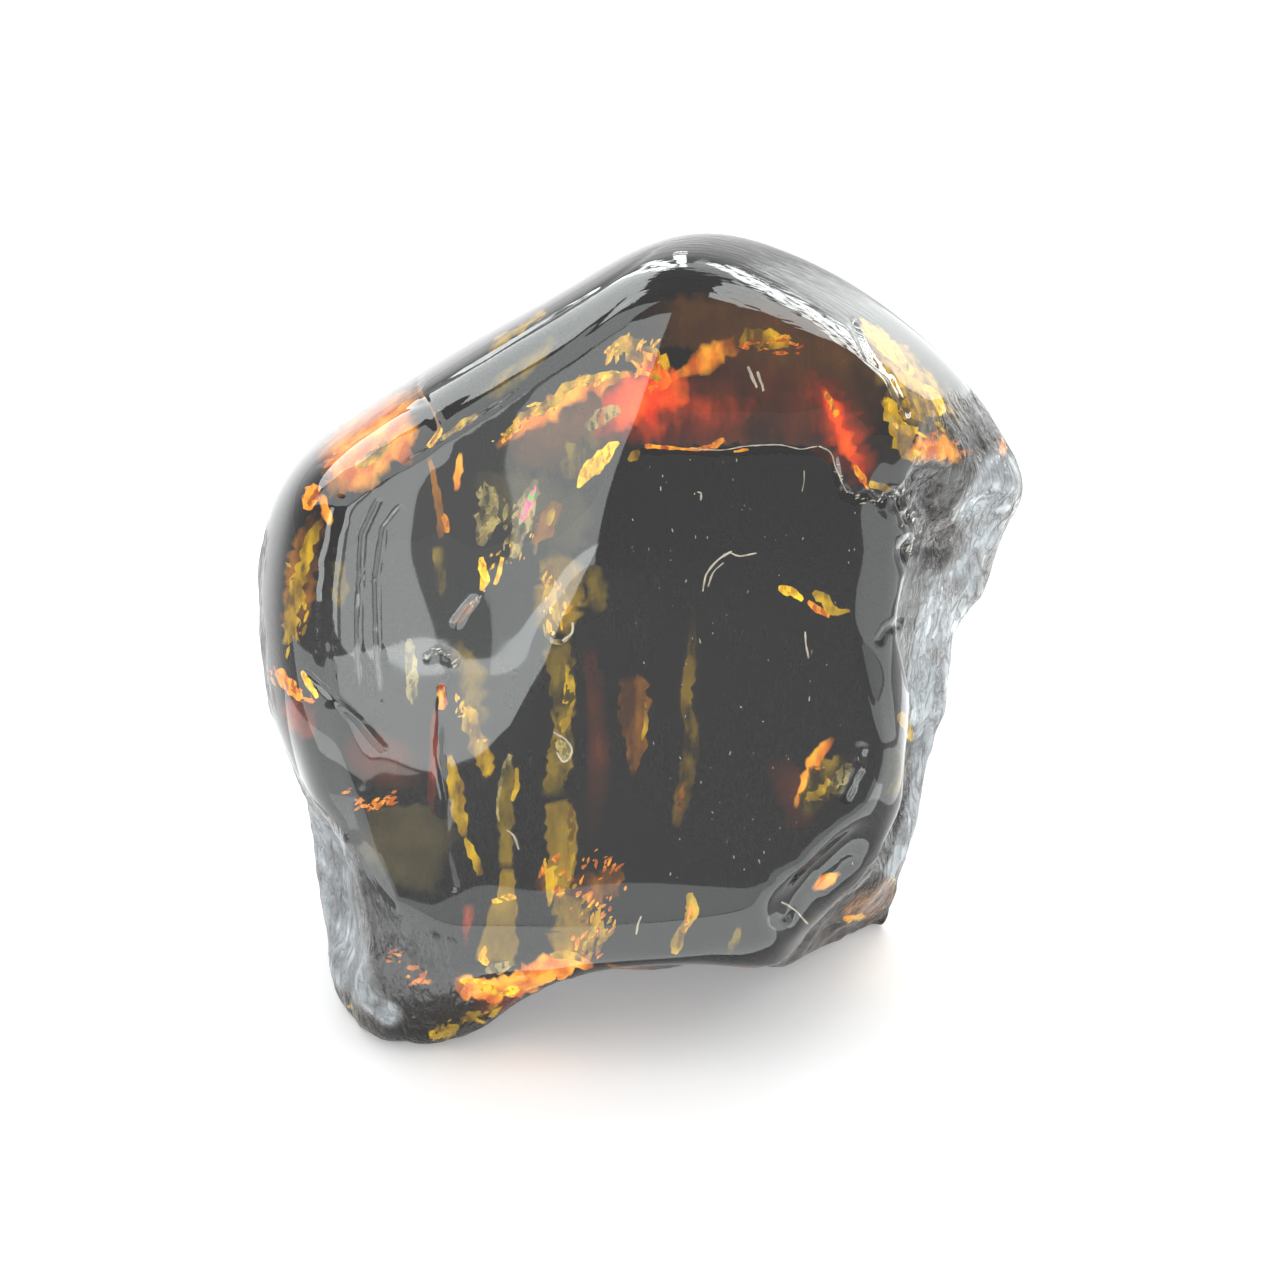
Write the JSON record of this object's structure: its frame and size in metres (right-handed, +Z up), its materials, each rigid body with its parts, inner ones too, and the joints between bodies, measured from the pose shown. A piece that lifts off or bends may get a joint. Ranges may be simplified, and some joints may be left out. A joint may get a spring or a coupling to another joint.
{
  "type": "polished amber stone",
  "caption": "Dark amber hand specimen, one solid stone with a polished domed face and rim and rough broken sides, standing on a flat base.",
  "frame": {"origin": "middle of the bounding box's bottom, on the surface that the stone stands on", "axes": "+Z up, -Y out of the polished front face, +X to the right seen from the front"},
  "size_m": [0.0766, 0.0498, 0.0802],
  "materials": {
    "amber": "polished, clear deep brown amber with gold and orange cracks inside"
  },
  "bodies": {
    "root": {"amber_stone": "amber"}
  },
  "joints": []
}
